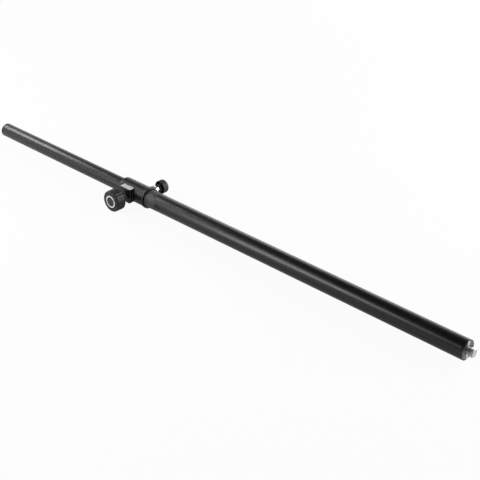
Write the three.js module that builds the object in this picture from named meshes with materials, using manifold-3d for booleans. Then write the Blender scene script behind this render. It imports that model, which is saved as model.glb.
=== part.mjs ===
// Telescopic speaker pole: an outer tube with a threaded stud, and a 35 mm extension tube that slides
// in it, held by a clamp knob and by a sprung index pin in the collar.
// The pole is built upright, with its axis on +Z and its seat at zero, and is then laid down with the
// end of the stud at the origin: the stud points along +X, the extension along -X, the clamp knob along
// -Y and the index pin along +Y.
// A station is a height above the seat, a rise is a height above the foot of the piece that carries the
// feature, and a reach is a distance from the axis of the pole. All lengths are in millimetres.
import * as THREE from "three";
import { mergeVertices } from "three/addons/utils/BufferGeometryUtils.js";
import Module from "manifold-3d";

const wasm = await Module();
wasm.setup();

// Tubes
const EXTENSION_DIAMETER = 35;
const EXTENSION_WALL = 1.5;
const OUTER_WALL = 1.5;
const EXTENDED_LENGTH = 1450;
const TUBE_EDGE = 0.4;

// Clearances
const SLIDE_FIT = 0.2;
const SEAT_FIT = 0.25;
const TIP_CLEARANCE = 0.3;
const OVERRUN = 2;

// Collar, a casting on the top of the outer tube
const COLLAR_STATION = 880;
const COLLAR_WALL = 2.4;
const COLLAR_HEAD = 35;
const COLLAR_TOP_LIP = 5;
const COLLAR_TOP_ROUND = 3;
const COLLAR_LIP_HEIGHT = 1.8;
const COLLAR_LIP_WIDTH = 5;
const COLLAR_LIP_EDGE = 0.6;

// Guide bush between the tubes, which is also the upper stop of the extension
const BUSH_WALL = 2.1;
const BUSH_FLANGE = 3;
const BUSH_LENGTH = 115;

// Clamp: the boss of the collar, the shoe, its screw and the threaded insert
const CLAMP_SPACING = 31;
const BOSS_WIDTH = 36.5;
const BOSS_TOP = 19.4;
const BOSS_TOP_CORNER = 1.5;
const BOSS_BOTTOM = 18.3;
const BOSS_BOTTOM_CORNER = 8;
const BOSS_WALL = 3.55;
const BOSS_BEVEL = 1;
const SHOE_LENGTH = 22;
const SHOE_WIDTH = 16;
const SHOE_THICKNESS = 6.4;
const SHOE_SOCKET_DEPTH = 1.2;
const SHOE_SOCKET_FIT = 0.6;
const CLAMP_TRAVEL = 3;
const SCREW_DIAMETER = 10;
const SCREW_TIP_CHAMFER = 1;
const INSERT_WALL = 2.5;
const INSERT_FLANGE_WIDTH = 3;
const INSERT_FLANGE_HEIGHT = 2;
const INSERT_NOSE_WALL = 3.2;
const INSERT_NOSE_HEIGHT = 4;

// Clamp knob
const KNOB_HEAD_LENGTH = 31;
const KNOB_FRONT_DIAMETER = 53;
const KNOB_BACK_DIAMETER = 46;
const KNOB_FRONT_ROUND = 4.5;
const KNOB_BACK_ROUND = 1.5;
const KNOB_HUB_WALL = 7;
const KNOB_HUB_LENGTH = 7.25;
const KNOB_HUB_GAP = 1.5;
const KNOB_FLUTES = 14;
const KNOB_FLUTE_RADIUS = 4;
const KNOB_FLUTE_DEPTH = 1;
const KNOB_RIM_WALL = 3.2;
const KNOB_HOLLOW_DEPTH = 15;
const KNOB_RIBS = 6;
const KNOB_RIB_THICKNESS = 2;
const KNOB_SCREW_COVER = 6;
const COVER_DIAMETER = 34;
const COVER_THICKNESS = 1.8;
const COVER_EDGE = 0.4;

// Index pin, opposite the clamp
const PIN_RISE = 24;
const PIN_DIAMETER = 8;
const PIN_TIP_CHAMFER = 0.8;
const PIN_SHOULDER_WIDTH = 1.5;
const PIN_SHOULDER_HEIGHT = 2.5;
const PIN_STEM_DIAMETER = 6;
const PIN_INWARD_TRAVEL = 3.5;
const PIN_BOSS_DIAMETER = 24;
const PIN_BOSS_HEIGHT = 4.3;
const PIN_BOSS_EDGE = 0.8;
const HOUSING_WALL = 1.3;
const HOUSING_THREAD_DEPTH = 1;
const HOUSING_FLOOR = 3.2;
const HOUSING_CAP = 2;
const HOUSING_EDGE = 0.6;
const HOUSING_THREAD_END = 1;
const LOCK_NUT_WIDTH = 3;
const LOCK_NUT_HEIGHT = 4;
const LOCK_NUT_EDGE = 0.6;
const SPRING_LENGTH = 12.3;
const SPRING_WIRE = 1;
const SPRING_TURNS = 5;
const PIN_KNOB_DIAMETER = 33;
const PIN_KNOB_NECK_DIAMETER = 18;
const PIN_KNOB_GAP = 0.3;
const PIN_KNOB_HEIGHT = 20.5;
const PIN_KNOB_FLARE = 3;
const PIN_KNOB_EDGE = 1.5;
const PIN_KNOB_RIM = 10.5;
const PIN_KNOB_COVER = 6;

// Index holes in the extension tube, and the least of the tube that stays out of the collar
const HOLE_PITCH = 60;
const HOLE_DIAMETER = 9;
const EXTENSION_STUB = 50;

// Ends of the extension tube
const CAP_CROWN = 5;
const CAP_ROUND = 3.5;
const CAP_SPIGOT = 22;
const CAP_WALL = 2;
const FOOT_FLANGE = 12;
const FOOT_SPIGOT = 30;
const FOOT_WALL = 3;
const FOOT_EDGE = 1;
const CROSS_PIN_DIAMETER = 4;
const CROSS_PIN_RISE = 15;

// End plug and stud
const PLUG_LENGTH = 30;
const PLUG_FLOOR = 14;
const PLUG_WALL = 3.5;
const PLUG_CHAMFER = 0.6;
const PLUG_PROUD = 0.5;
const SEAT_RECESS_WIDTH = 1.25;
const SEAT_RECESS_DEPTH = 0.8;
const STUD_DIAMETER = 20;
const STUD_LENGTH = 14.4;
const STUD_NECK_DIAMETER = 15.6;
const STUD_NECK_LENGTH = 5.9;
const STUD_ROOT_LENGTH = 11;
const STUD_CHAMFER = 1.2;

// Rivets of the plug and the collar
const RIVET_DIAMETER = 4;
const RIVET_GRIP = 3.5;
const RIVET_HEAD_DIAMETER = 6.5;
const RIVET_HEAD_HEIGHT = 0.9;
const PLUG_RIVET_RISE = 6;
const PLUG_RIVET_DEGREES = [-53, 67, 187];
const COLLAR_RIVET_RISE = 11;
const COLLAR_RIVET_DEGREES = [145, 215];

// Facets round each kind of piece, steps in a turn of the spring and steps in a rounded corner
const POLE_SIDES = 36;
const KNOB_SIDES = 42;
const PIN_KNOB_SIDES = 28;
const SMALL_SIDES = 16;
const FLUTE_SIDES = 12;
const HEX_SIDES = 6;
const WIRE_SIDES = 6;
const TURN_STEPS = 10;
const CORNER_STEPS = 3;

// Sizes across the pole, from the extension tube outwards
const EXTENSION_RADIUS = EXTENSION_DIAMETER / 2;
const EXTENSION_BORE = EXTENSION_RADIUS - EXTENSION_WALL;
const BUSH_BORE = EXTENSION_RADIUS + SLIDE_FIT;
const BUSH_RADIUS = BUSH_BORE + BUSH_WALL;
const OUTER_BORE = BUSH_RADIUS + SLIDE_FIT;
const OUTER_RADIUS = OUTER_BORE + OUTER_WALL;
const COLLAR_BORE = OUTER_RADIUS + SEAT_FIT;
const COLLAR_RADIUS = COLLAR_BORE + COLLAR_WALL;
const LIP_RADIUS = COLLAR_RADIUS + COLLAR_LIP_HEIGHT;

// Stations along the pole
const PIN_STATION = COLLAR_STATION + PIN_RISE;
const CLAMP_STATION = PIN_STATION + CLAMP_SPACING;
const COLLAR_TOP = CLAMP_STATION + COLLAR_HEAD;
const COLLAR_LENGTH = COLLAR_TOP - COLLAR_STATION;
const COLLAR_SHOULDER = COLLAR_TOP - COLLAR_TOP_LIP;
const BUSH_TOP = COLLAR_SHOULDER - SEAT_FIT;
const OUTER_TOP = BUSH_TOP - BUSH_FLANGE - SEAT_FIT;
const BUSH_STATION = BUSH_TOP - BUSH_LENGTH;
const EXTENSION_STATION = BUSH_STATION - SEAT_FIT;
const EXTENSION_TOP = EXTENDED_LENGTH - CAP_CROWN - SEAT_FIT;
const EXTENSION_LENGTH = EXTENSION_TOP - EXTENSION_STATION;
const HOLE_STEPS = Math.floor((EXTENDED_LENGTH - COLLAR_TOP - EXTENSION_STUB) / HOLE_PITCH);

// Reaches of the clamp, outwards from the extension tube
const SHOE_FACE = EXTENSION_RADIUS + TIP_CLEARANCE;
const SHOE_BACK = SHOE_FACE + SHOE_THICKNESS;
const POCKET_REACH = SHOE_BACK + CLAMP_TRAVEL + SEAT_FIT;
const BOSS_REACH = POCKET_REACH + BOSS_WALL;
const SCREW_RADIUS = SCREW_DIAMETER / 2;
const SCREW_BORE = SCREW_RADIUS + SEAT_FIT;
const SCREW_TIP = SHOE_BACK - SHOE_SOCKET_DEPTH + SEAT_FIT;
const INSERT_RADIUS = SCREW_BORE + INSERT_WALL;
const INSERT_FLANGE_REACH = BOSS_REACH + SEAT_FIT;
const INSERT_NOSE_REACH = INSERT_FLANGE_REACH + INSERT_FLANGE_HEIGHT;
const INSERT_END = INSERT_NOSE_REACH + INSERT_NOSE_HEIGHT;
const KNOB_HUB_RADIUS = SCREW_RADIUS + KNOB_HUB_WALL;
const KNOB_HUB_REACH = INSERT_END + KNOB_HUB_GAP;
const KNOB_BACK = KNOB_HUB_REACH + KNOB_HUB_LENGTH;
const KNOB_FRONT = KNOB_BACK + KNOB_HEAD_LENGTH;
const SCREW_END = KNOB_FRONT - KNOB_SCREW_COVER;

// Reaches of the index pin, outwards from the extension tube
const PIN_RADIUS = PIN_DIAMETER / 2;
const PIN_BORE = PIN_RADIUS + SEAT_FIT;
const STEM_RADIUS = PIN_STEM_DIAMETER / 2;
const STEM_BORE = STEM_RADIUS + SEAT_FIT;
const PIN_TIP = EXTENSION_RADIUS + TIP_CLEARANCE;
const SHOULDER_RADIUS = PIN_RADIUS + PIN_SHOULDER_WIDTH;
const HOUSING_BORE = SHOULDER_RADIUS + SEAT_FIT;
const HOUSING_RADIUS = HOUSING_BORE + HOUSING_WALL;
const HOUSING_THREAD_RADIUS = HOUSING_RADIUS + HOUSING_THREAD_DEPTH;
const PIN_BOSS_REACH = COLLAR_RADIUS + PIN_BOSS_HEIGHT;
const HOUSING_FOOT = OUTER_RADIUS + SEAT_FIT;
const HOUSING_FLOOR_REACH = HOUSING_FOOT + HOUSING_FLOOR;
const SHOULDER_REACH = HOUSING_FLOOR_REACH + SEAT_FIT + PIN_INWARD_TRAVEL;
const SHOULDER_TOP = SHOULDER_REACH + PIN_SHOULDER_HEIGHT;
const HOUSING_CAP_REACH = SHOULDER_TOP + SPRING_LENGTH;
const HOUSING_END = HOUSING_CAP_REACH + HOUSING_CAP;
const LOCK_NUT_REACH = PIN_BOSS_REACH + SEAT_FIT;
const LOCK_NUT_END = LOCK_NUT_REACH + LOCK_NUT_HEIGHT;
const THREAD_END = LOCK_NUT_END + HOUSING_THREAD_END;
const PIN_KNOB_REACH = HOUSING_END + PIN_INWARD_TRAVEL + PIN_KNOB_GAP;
const PIN_KNOB_END = PIN_KNOB_REACH + PIN_KNOB_HEIGHT;
const STEM_END = PIN_KNOB_END - PIN_KNOB_COVER;

const RIVET_RADIUS = RIVET_DIAMETER / 2;
const RIVET_BORE = RIVET_RADIUS + SEAT_FIT;
const STUD_RADIUS = STUD_DIAMETER / 2;
const STUD_NECK_RADIUS = STUD_NECK_DIAMETER / 2;
const CROSS_PIN_RADIUS = CROSS_PIN_DIAMETER / 2;
const CROSS_PIN_BORE = CROSS_PIN_RADIUS + SEAT_FIT;

const DEGREES = Math.PI / 180;
const QUARTER_TURN = Math.PI / 2;
const FULL_TURN = 2 * Math.PI;

// Materials
function finish(color, roughness, metalness) {
  return () => new THREE.MeshStandardMaterial({ color, roughness, metalness });
}
const blackPaint = finish(0x1b1b1c, 0.35, 0.1);
const satinPaint = finish(0x242425, 0.5, 0.1);
const blackCasting = finish(0x171717, 0.4, 0.2);
const blackPlastic = finish(0x1e1e1f, 0.55, 0);
const greyPlastic = finish(0x3a3a3c, 0.6, 0);
const zinc = finish(0xb4b4b2, 0.4, 0.9);
const steel = finish(0xc4c5c7, 0.25, 1);
const chrome = finish(0xe2e3e5, 0.12, 1);

// A copy of a geometry with shared vertices, no empty triangles and its faces pointing out
function closed(geometry) {
  const bare = geometry.clone();
  bare.deleteAttribute("normal");
  bare.deleteAttribute("uv");
  const merged = mergeVertices(bare);
  const places = merged.attributes.position.array;
  const corners = Array.from(merged.index.array);
  const kept = [];
  let volume = 0;
  for (let i = 0; i < corners.length; i += 3) {
    const [a, b, c] = corners.slice(i, i + 3);
    if (a === b || b === c || c === a) continue;
    const [p, q, r] = [a, b, c].map((k) => new THREE.Vector3().fromArray(places, 3 * k));
    kept.push(a, b, c);
    volume += p.dot(q.cross(r));
  }
  merged.setIndex(volume < 0 ? kept.reverse() : kept);
  return merged;
}

function toManifold(geometry) {
  const whole = closed(geometry);
  const vertProperties = new Float32Array(whole.attributes.position.array);
  const triVerts = new Uint32Array(whole.index.array);
  return new wasm.Manifold(new wasm.Mesh({ numProp: 3, vertProperties, triVerts }));
}

function fromManifold(shape) {
  const mesh = shape.getMesh();
  const geometry = new THREE.BufferGeometry();
  geometry.setAttribute("position", new THREE.BufferAttribute(mesh.vertProperties, 3));
  geometry.setIndex(new THREE.BufferAttribute(mesh.triVerts, 1));
  return geometry;
}

function join(first, ...others) {
  return fromManifold(others.reduce((all, one) => all.add(toManifold(one)), toManifold(first)));
}

function cut(base, ...tools) {
  return fromManifold(tools.reduce((rest, tool) => rest.subtract(toManifold(tool)), toManifold(base)));
}

// A named sub-part, raised along its own group's axis if it needs to be
function piece(name, geometry, material, rise = 0) {
  const shape = closed(geometry);
  shape.computeVertexNormals();
  const node = new THREE.Mesh(shape, material());
  node.name = name;
  node.position.z = rise;
  return node;
}

function group(...members) {
  const whole = new THREE.Group();
  whole.add(...members);
  return whole;
}

// A profile of [radius, height] points turned about +Z; it starts and ends on the axis or closes on itself
function turned(profile, sides = SMALL_SIDES) {
  const points = profile.map(([radius, height]) => new THREE.Vector2(radius, height));
  const geometry = new THREE.LatheGeometry(points, sides);
  geometry.rotateX(QUARTER_TURN);
  return geometry;
}

// A rod along +Z from one height to another
function rod(radius, from, to, sides = SMALL_SIDES) {
  return turned([[0, from], [radius, from], [radius, to], [0, to]], sides);
}

// A block round the +Z axis from one height to another
function block(width, depth, from, to) {
  const geometry = new THREE.BoxGeometry(width, depth, to - from);
  geometry.translate(0, 0, (from + to) / 2);
  return geometry;
}

// The points of a rounded corner in a profile, from one angle to another
function corner(radius, centreRadius, centreHeight, fromDegrees, toDegrees) {
  return Array.from({ length: CORNER_STEPS + 1 }, (_, i) => {
    const angle = (fromDegrees + ((toDegrees - fromDegrees) * i) / CORNER_STEPS) * DEGREES;
    return [centreRadius + radius * Math.cos(angle), centreHeight + radius * Math.sin(angle)];
  });
}

// The frame that points a shape built along +Z at the clamp's side of the pole
function clampSide(station) {
  return new THREE.Matrix4().makeRotationX(QUARTER_TURN).setPosition(0, 0, station);
}

// The frame that points a shape built along +Z at the index pin's side of the pole
function pinSide(station) {
  return new THREE.Matrix4().makeRotationX(-QUARTER_TURN).setPosition(0, 0, station);
}

// The frame that points a shape built along +Z outwards at an angle round the pole from its upper side
function rivetSide(degrees, station) {
  const turn = new THREE.Matrix4().makeRotationZ(degrees * DEGREES);
  const tip = new THREE.Matrix4().makeRotationY(QUARTER_TURN);
  return turn.multiply(tip).setPosition(0, 0, station);
}

// A group of pieces that stands in one of the frames above
function framed(frame, ...members) {
  const whole = group(...members);
  whole.applyMatrix4(frame);
  return whole;
}

// The window for the clamp shoe, cut outwards through whatever is round the extension tube
function shoeWindow(to, foot) {
  const window = block(SHOE_WIDTH + 2 * SEAT_FIT, SHOE_LENGTH + 2 * SEAT_FIT, 0, to);
  return window.applyMatrix4(clampSide(CLAMP_STATION - foot));
}

// A round hole on the index pin's side
function pinSideHole(radius, to, foot) {
  return rod(radius, 0, to).applyMatrix4(pinSide(PIN_STATION - foot));
}

// The holes for a ring of rivets, from one reach outwards
function rivetHoles(angles, from, station) {
  const to = LIP_RADIUS + OVERRUN;
  return angles.map((degrees) => rod(RIVET_BORE, from, to).applyMatrix4(rivetSide(degrees, station)));
}

// A tube with broken edges, its foot at zero
function tube(bore, radius, length) {
  const profile = [
    [bore, TUBE_EDGE],
    [bore + TUBE_EDGE, 0],
    [radius - TUBE_EDGE, 0],
    [radius, TUBE_EDGE],
    [radius, length - TUBE_EDGE],
    [radius - TUBE_EDGE, length],
    [bore + TUBE_EDGE, length],
    [bore, length - TUBE_EDGE],
    [bore, TUBE_EDGE],
  ];
  return turned(profile, POLE_SIDES);
}

function outerTube() {
  const shape = tube(OUTER_BORE, OUTER_RADIUS, OUTER_TOP - PLUG_PROUD);
  const foot = PLUG_PROUD;
  const holes = [
    shoeWindow(OUTER_RADIUS + OVERRUN, foot),
    pinSideHole(PIN_BORE, OUTER_RADIUS + OVERRUN, foot),
    ...rivetHoles(PLUG_RIVET_DEGREES, 0, PLUG_RIVET_RISE - foot),
    ...rivetHoles(COLLAR_RIVET_DEGREES, 0, COLLAR_STATION + COLLAR_RIVET_RISE - foot),
  ];
  return piece("outer_tube", cut(shape, ...holes), blackPaint, foot);
}

// The plug is solid round the root of the stud and hollow above it
function endPlug() {
  const radius = OUTER_BORE - SEAT_FIT;
  const recess = STUD_RADIUS + SEAT_RECESS_WIDTH;
  const root = STUD_NECK_RADIUS + SEAT_FIT;
  const profile = [
    [0, STUD_ROOT_LENGTH + SEAT_FIT],
    [root, STUD_ROOT_LENGTH + SEAT_FIT],
    [root, SEAT_RECESS_DEPTH],
    [recess, SEAT_RECESS_DEPTH],
    [recess, 0],
    [radius - PLUG_CHAMFER, 0],
    [radius, PLUG_CHAMFER],
    [radius, PLUG_LENGTH - PLUG_CHAMFER],
    [radius - PLUG_CHAMFER, PLUG_LENGTH],
    [radius - PLUG_WALL, PLUG_LENGTH],
    [radius - PLUG_WALL, PLUG_FLOOR],
    [0, PLUG_FLOOR],
  ];
  const from = radius - RIVET_GRIP - SEAT_FIT;
  const holes = rivetHoles(PLUG_RIVET_DEGREES, from, PLUG_RIVET_RISE);
  return piece("end_plug", cut(turned(profile, POLE_SIDES), ...holes), zinc);
}

// The stud hangs below the seat: root in the plug, relief neck, threaded end with a chamfered tip
function threadedStud() {
  const profile = [
    [0, STUD_ROOT_LENGTH],
    [STUD_NECK_RADIUS, STUD_ROOT_LENGTH],
    [STUD_NECK_RADIUS, -STUD_NECK_LENGTH],
    [STUD_RADIUS - STUD_CHAMFER, -STUD_NECK_LENGTH],
    [STUD_RADIUS, -STUD_NECK_LENGTH - STUD_CHAMFER],
    [STUD_RADIUS, -STUD_LENGTH + STUD_CHAMFER],
    [STUD_RADIUS - STUD_CHAMFER, -STUD_LENGTH],
    [0, -STUD_LENGTH],
  ];
  return piece("threaded_stud", turned(profile, POLE_SIDES), steel);
}

// A rivet with a low domed head, which starts under the surface that it holds
function rivet(name, from, surface) {
  const head = RIVET_HEAD_DIAMETER / 2;
  const seat = surface + SEAT_FIT;
  const profile = [
    [0, from],
    [RIVET_RADIUS, from],
    [RIVET_RADIUS, seat],
    [head, seat],
    ...corner(RIVET_HEAD_HEIGHT, head - RIVET_HEAD_HEIGHT, seat, 0, 90),
    [0, seat + RIVET_HEAD_HEIGHT],
  ];
  return piece(name, turned(profile), blackPaint);
}

function plugRivets() {
  const from = OUTER_BORE - SEAT_FIT - RIVET_GRIP;
  const rivets = PLUG_RIVET_DEGREES.map((degrees, i) =>
    framed(rivetSide(degrees, PLUG_RIVET_RISE), rivet(`plug_rivet_${i + 1}`, from, OUTER_RADIUS)),
  );
  return group(...rivets);
}

function collarRivets() {
  const from = OUTER_BORE + SEAT_FIT;
  const station = COLLAR_STATION + COLLAR_RIVET_RISE;
  const rivets = COLLAR_RIVET_DEGREES.map((degrees, i) =>
    framed(rivetSide(degrees, station), rivet(`collar_rivet_${i + 1}`, from, COLLAR_RADIUS)),
  );
  return group(...rivets);
}

// The outside of the collar: a lip at its foot and a rounded top edge
function collarBody() {
  const lipTop = COLLAR_LIP_WIDTH + COLLAR_LIP_HEIGHT;
  const roundRadius = COLLAR_RADIUS - COLLAR_TOP_ROUND;
  const profile = [
    [0, 0],
    [LIP_RADIUS - COLLAR_LIP_EDGE, 0],
    [LIP_RADIUS, COLLAR_LIP_EDGE],
    [LIP_RADIUS, COLLAR_LIP_WIDTH],
    [COLLAR_RADIUS, lipTop],
    ...corner(COLLAR_TOP_ROUND, roundRadius, COLLAR_LENGTH - COLLAR_TOP_ROUND, 0, 90),
    [0, COLLAR_LENGTH],
  ];
  return turned(profile, POLE_SIDES);
}

// The clamp boss: flat on top, with its lower corners well rounded
function collarBoss() {
  const side = BOSS_WIDTH / 2;
  const top = BOSS_TOP - BOSS_TOP_CORNER;
  const bottom = BOSS_BOTTOM_CORNER - BOSS_BOTTOM;
  const outline = new THREE.Shape();
  outline.absarc(top, BOSS_TOP_CORNER - side, BOSS_TOP_CORNER, -QUARTER_TURN, 0);
  outline.absarc(top, side - BOSS_TOP_CORNER, BOSS_TOP_CORNER, 0, QUARTER_TURN);
  outline.absarc(bottom, side - BOSS_BOTTOM_CORNER, BOSS_BOTTOM_CORNER, QUARTER_TURN, 2 * QUARTER_TURN);
  outline.absarc(bottom, BOSS_BOTTOM_CORNER - side, BOSS_BOTTOM_CORNER, 2 * QUARTER_TURN, 3 * QUARTER_TURN);
  const boss = new THREE.ExtrudeGeometry(outline, {
    depth: BOSS_REACH - 2 * BOSS_BEVEL,
    bevelThickness: BOSS_BEVEL,
    bevelSize: BOSS_BEVEL,
    bevelOffset: -BOSS_BEVEL,
    bevelSegments: 2,
    curveSegments: 2 * CORNER_STEPS,
  });
  boss.translate(0, 0, BOSS_BEVEL);
  return boss.applyMatrix4(clampSide(CLAMP_STATION - COLLAR_STATION));
}

// The round boss that the index pin's housing screws into
function pinBoss() {
  const radius = PIN_BOSS_DIAMETER / 2;
  const profile = [
    [0, 0],
    [radius, 0],
    [radius, PIN_BOSS_REACH - PIN_BOSS_EDGE],
    [radius - PIN_BOSS_EDGE, PIN_BOSS_REACH],
    [0, PIN_BOSS_REACH],
  ];
  return turned(profile, PIN_KNOB_SIDES).applyMatrix4(pinSide(PIN_RISE));
}

// The bore for the outer tube and the guide bush, with a narrower mouth for the extension tube
function collarBore() {
  const shoulder = COLLAR_SHOULDER - COLLAR_STATION;
  const mouth = EXTENSION_RADIUS + SEAT_FIT;
  const profile = [
    [0, -OVERRUN],
    [COLLAR_BORE, -OVERRUN],
    [COLLAR_BORE, shoulder],
    [mouth, shoulder],
    [mouth, COLLAR_LENGTH + OVERRUN],
    [0, COLLAR_LENGTH + OVERRUN],
  ];
  return turned(profile, POLE_SIDES);
}

function collar() {
  const insertHole = rod(INSERT_RADIUS + SEAT_FIT, 0, BOSS_REACH + OVERRUN);
  insertHole.applyMatrix4(clampSide(CLAMP_STATION - COLLAR_STATION));
  const casting = join(collarBody(), collarBoss(), pinBoss());
  const bored = cut(
    casting,
    collarBore(),
    shoeWindow(POCKET_REACH, COLLAR_STATION),
    insertHole,
    pinSideHole(HOUSING_THREAD_RADIUS + SEAT_FIT, PIN_BOSS_REACH + OVERRUN, COLLAR_STATION),
    ...rivetHoles(COLLAR_RIVET_DEGREES, 0, COLLAR_RIVET_RISE),
  );
  return piece("collar", bored, blackCasting, COLLAR_STATION);
}

// The bush hangs in the top of the outer tube by its flange, which the collar traps
function guideBush() {
  const flange = BUSH_LENGTH - BUSH_FLANGE;
  const profile = [
    [BUSH_BORE, 0],
    [BUSH_RADIUS, 0],
    [BUSH_RADIUS, flange],
    [OUTER_RADIUS, flange],
    [OUTER_RADIUS, BUSH_LENGTH],
    [BUSH_BORE, BUSH_LENGTH],
    [BUSH_BORE, 0],
  ];
  const holes = [
    shoeWindow(OUTER_RADIUS + OVERRUN, BUSH_STATION),
    pinSideHole(PIN_BORE, OUTER_RADIUS + OVERRUN, BUSH_STATION),
  ];
  return piece("guide_bush", cut(turned(profile, POLE_SIDES), ...holes), greyPlastic, BUSH_STATION);
}

// The shoe follows the round of the extension tube and takes the screw's tip in a socket
function clampShoe() {
  const axis = rod(SHOE_FACE, -SHOE_LENGTH, SHOE_LENGTH, POLE_SIDES);
  axis.rotateX(QUARTER_TURN);
  const socket = rod(SCREW_RADIUS + SHOE_SOCKET_FIT, SHOE_BACK - SHOE_SOCKET_DEPTH, SHOE_BACK + OVERRUN);
  const body = block(SHOE_WIDTH, SHOE_LENGTH, 0, SHOE_BACK);
  return piece("clamp_shoe", cut(body, axis, socket), greyPlastic);
}

function clampInsert() {
  const flange = INSERT_RADIUS + INSERT_FLANGE_WIDTH;
  const nose = SCREW_BORE + INSERT_NOSE_WALL;
  const profile = [
    [SCREW_BORE, POCKET_REACH],
    [INSERT_RADIUS, POCKET_REACH],
    [INSERT_RADIUS, INSERT_FLANGE_REACH],
    [flange, INSERT_FLANGE_REACH],
    [flange, INSERT_NOSE_REACH],
    [nose, INSERT_NOSE_REACH],
    [nose, INSERT_END],
    [SCREW_BORE, INSERT_END],
    [SCREW_BORE, POCKET_REACH],
  ];
  return piece("clamp_insert", turned(profile), steel);
}

function clampScrew() {
  const profile = [
    [0, SCREW_TIP],
    [SCREW_RADIUS - SCREW_TIP_CHAMFER, SCREW_TIP],
    [SCREW_RADIUS, SCREW_TIP + SCREW_TIP_CHAMFER],
    [SCREW_RADIUS, SCREW_END],
    [0, SCREW_END],
  ];
  return piece("clamp_screw", turned(profile), steel);
}

// The knob's head tapers towards its back, which is hollow round the hub
function knobBody() {
  const front = KNOB_FRONT_DIAMETER / 2;
  const back = KNOB_BACK_DIAMETER / 2;
  const cover = COVER_DIAMETER / 2 + SEAT_FIT;
  const coverFloor = KNOB_FRONT - COVER_THICKNESS - SEAT_FIT;
  const screw = SCREW_END + SEAT_FIT;
  const profile = [
    [0, screw],
    [SCREW_BORE, screw],
    [SCREW_BORE, KNOB_HUB_REACH],
    [KNOB_HUB_RADIUS, KNOB_HUB_REACH],
    [KNOB_HUB_RADIUS, KNOB_BACK + KNOB_HOLLOW_DEPTH],
    [back - KNOB_RIM_WALL, KNOB_BACK + KNOB_HOLLOW_DEPTH],
    [back - KNOB_RIM_WALL, KNOB_BACK],
    ...corner(KNOB_BACK_ROUND, back - KNOB_BACK_ROUND, KNOB_BACK + KNOB_BACK_ROUND, -90, 0),
    ...corner(KNOB_FRONT_ROUND, front - KNOB_FRONT_ROUND, KNOB_FRONT - KNOB_FRONT_ROUND, 0, 90),
    [cover, KNOB_FRONT],
    [cover, coverFloor],
    [0, coverFloor],
  ];
  return turned(profile, KNOB_SIDES);
}

// Ribs join the hub to the rim in the hollow back
function knobRibs() {
  const outer = KNOB_BACK_DIAMETER / 2 - KNOB_RIM_WALL / 2;
  const inner = KNOB_HUB_RADIUS - KNOB_RIM_WALL / 2;
  const deep = KNOB_BACK + KNOB_HOLLOW_DEPTH + KNOB_RIM_WALL / 2;
  return Array.from({ length: KNOB_RIBS }, (_, i) => {
    const rib = block(outer - inner, KNOB_RIB_THICKNESS, KNOB_BACK + KNOB_RIM_WALL / 2, deep);
    rib.translate((outer + inner) / 2, 0, 0);
    rib.rotateZ((i * FULL_TURN) / KNOB_RIBS);
    return rib;
  });
}

// Shallow grip flutes that lean with the taper of the head
function knobFlutes() {
  const front = KNOB_FRONT_DIAMETER / 2;
  const back = KNOB_BACK_DIAMETER / 2;
  const lean = Math.atan2(front - back, KNOB_HEAD_LENGTH);
  const middle = (front + back) / 2 + KNOB_FLUTE_RADIUS - KNOB_FLUTE_DEPTH;
  return Array.from({ length: KNOB_FLUTES }, (_, i) => {
    const flute = rod(KNOB_FLUTE_RADIUS, -KNOB_HEAD_LENGTH, KNOB_HEAD_LENGTH, FLUTE_SIDES);
    flute.rotateY(lean);
    flute.translate(middle, 0, (KNOB_BACK + KNOB_FRONT) / 2);
    flute.rotateZ(((i + 1 / 2) * FULL_TURN) / KNOB_FLUTES);
    return flute;
  });
}

function clampKnob() {
  const fluted = cut(knobBody(), ...knobFlutes());
  return piece("clamp_knob", join(fluted, ...knobRibs()), blackPlastic);
}

function knobCover() {
  const radius = COVER_DIAMETER / 2;
  const foot = KNOB_FRONT - COVER_THICKNESS;
  const profile = [
    [0, foot],
    [radius, foot],
    [radius, KNOB_FRONT - COVER_EDGE],
    [radius - COVER_EDGE, KNOB_FRONT],
    [0, KNOB_FRONT],
  ];
  return piece("knob_cover", turned(profile, KNOB_SIDES), greyPlastic);
}

// The housing: a threaded foot with a floor for the pin's shoulder, and a closed sleeve for the spring
function pinHousing() {
  const profile = [
    [PIN_BORE, HOUSING_FOOT],
    [HOUSING_THREAD_RADIUS - HOUSING_EDGE, HOUSING_FOOT],
    [HOUSING_THREAD_RADIUS, HOUSING_FOOT + HOUSING_EDGE],
    [HOUSING_THREAD_RADIUS, THREAD_END],
    [HOUSING_RADIUS, THREAD_END],
    [HOUSING_RADIUS, HOUSING_END - HOUSING_EDGE],
    [HOUSING_RADIUS - HOUSING_EDGE, HOUSING_END],
    [STEM_BORE, HOUSING_END],
    [STEM_BORE, HOUSING_CAP_REACH],
    [HOUSING_BORE, HOUSING_CAP_REACH],
    [HOUSING_BORE, HOUSING_FLOOR_REACH],
    [PIN_BORE, HOUSING_FLOOR_REACH],
    [PIN_BORE, HOUSING_FOOT],
  ];
  return piece("pin_housing", turned(profile), chrome);
}

function pinLockNut() {
  const bore = HOUSING_THREAD_RADIUS + SEAT_FIT;
  const flats = bore + LOCK_NUT_WIDTH;
  const points = flats / Math.cos(Math.PI / HEX_SIDES);
  const hexagon = rod(points, LOCK_NUT_REACH, LOCK_NUT_END, HEX_SIDES);
  const hole = rod(bore, LOCK_NUT_REACH - OVERRUN, LOCK_NUT_END + OVERRUN);
  return piece("pin_lock_nut", cut(hexagon, hole), chrome);
}

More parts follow.
